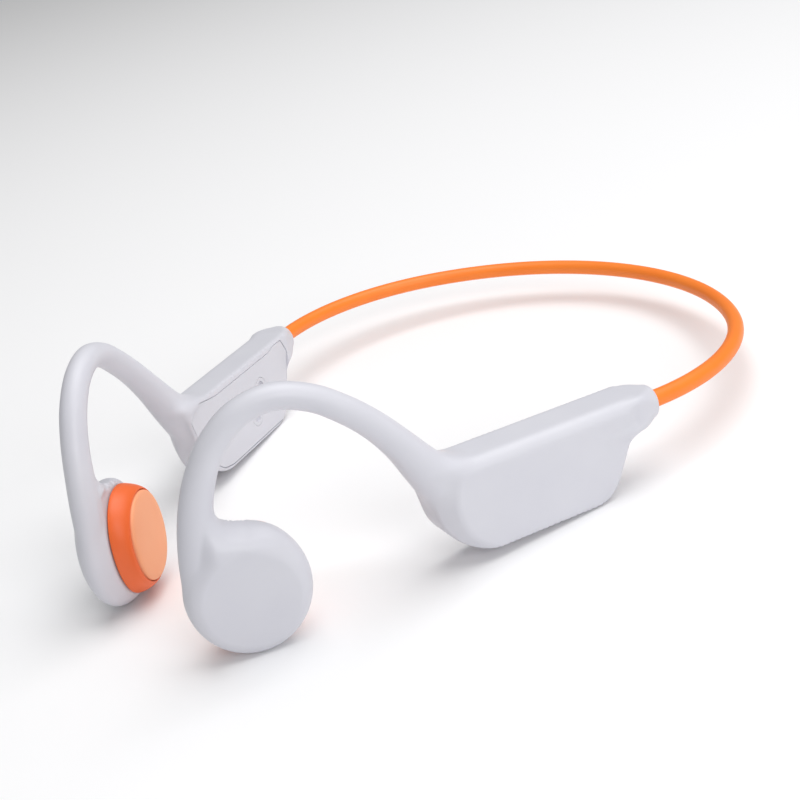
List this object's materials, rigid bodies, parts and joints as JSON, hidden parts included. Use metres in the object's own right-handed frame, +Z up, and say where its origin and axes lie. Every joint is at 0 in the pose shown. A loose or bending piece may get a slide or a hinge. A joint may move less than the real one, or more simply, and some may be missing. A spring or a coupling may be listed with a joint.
{
  "type": "bone conduction headphones",
  "caption": "Open-ear headphones: two cheekbone transducer pods on ear hooks, battery and control housings behind the ears, springy neckband.",
  "frame": {"origin": "centre of the bounding box's underside, on the table", "axes": "+Z up, +X to the wearer's left, -Y to the wearer's front, +Y to the back of the neckband"},
  "size_m": [0.115, 0.1618, 0.0491],
  "materials": {
    "grey_plastic": "satin, seamless over cup, hook and housing",
    "orange_band": "smooth silicone",
    "orange_silicone": "soft matte silicone",
    "pale_silicone": "soft matte silicone",
    "black_rubber": "matte",
    "titanium_wire": "drawn wire",
    "cable_jacket": "matte",
    "plated_steel": "nickel plated",
    "magnet_plating": "bright nickel",
    "copper_winding": "enamelled copper",
    "spring_steel": "etched sheet",
    "screw_steel": "plated",
    "circuit_board": "green solder mask",
    "foil_pouch": "foil laminate",
    "shield_can": "tin plated",
    "ceramic_chip": "sintered",
    "white_connector": "moulded",
    "dark_plastic": "fine matte",
    "gold_plating": "gold plated",
    "clear_plastic": "clear"
  },
  "bodies": {
    "right_side": {"body_shell_right": "grey_plastic", "inner_cover_right": "grey_plastic", "cover_seal_right": "black_rubber", "hook_spring_wire_right": "titanium_wire", "hook_cable_right": "cable_jacket", "transducer_housing_right": "orange_silicone", "contact_pad_right": "pale_silicone", "pod_seal_right": "black_rubber", "yoke_right": "plated_steel", "magnet_right": "magnet_plating", "top_plate_right": "plated_steel", "voice_coil_right": "copper_winding", "flexure_right": "spring_steel", "flexure_screws_right": "screw_steel", "terminal_board_right": "circuit_board", "main_board": "circuit_board", "board_screws": "screw_steel", "radio_shield": "shield_can", "antenna": "ceramic_chip", "board_connectors": "white_connector", "button_membrane": "black_rubber", "button_switches": "shield_can", "microphone": "shield_can", "microphone_mesh": "spring_steel", "light_pipe": "clear_plastic", "status_light": "ceramic_chip", "charging_socket": "dark_plastic", "charging_pins": "gold_plating", "charging_magnets": "magnet_plating", "neckband_sleeve": "orange_band", "neckband_spring_wire": "titanium_wire", "neckband_cable": "cable_jacket"},
    "left_side": {"body_shell_left": "grey_plastic", "inner_cover_left": "grey_plastic", "cover_seal_left": "black_rubber", "hook_spring_wire_left": "titanium_wire", "hook_cable_left": "cable_jacket", "transducer_housing_left": "orange_silicone", "contact_pad_left": "pale_silicone", "pod_seal_left": "black_rubber", "yoke_left": "plated_steel", "magnet_left": "magnet_plating", "top_plate_left": "plated_steel", "voice_coil_left": "copper_winding", "flexure_left": "spring_steel", "flexure_screws_left": "screw_steel", "terminal_board_left": "circuit_board", "battery": "foil_pouch", "battery_tape": "black_rubber", "battery_board": "circuit_board"},
    "volume_up": {"volume_up_button": "grey_plastic"},
    "volume_down": {"volume_down_button": "grey_plastic"}
  },
  "joints": [
    {"name": "neckband_flex", "type": "hinge", "parent": "right_side", "child": "left_side", "pos_m": [0, 0.07914, 0.00817], "axis": [0, 0, 1], "range_deg": [0, 48], "stiffness_Nm_per_rad": 0.28, "deforming": ["neckband_sleeve", "neckband_spring_wire", "neckband_cable"]},
    {"name": "volume_up_press", "type": "slide", "parent": "right_side", "child": "volume_up", "axis": [-0.028, 0.081, 0.9963], "range_m": [0, 0.00035], "stiffness_N_per_m": 400},
    {"name": "volume_down_press", "type": "slide", "parent": "right_side", "child": "volume_down", "axis": [-0.028, 0.081, 0.9963], "range_m": [0, 0.00035], "stiffness_N_per_m": 400}
  ]
}
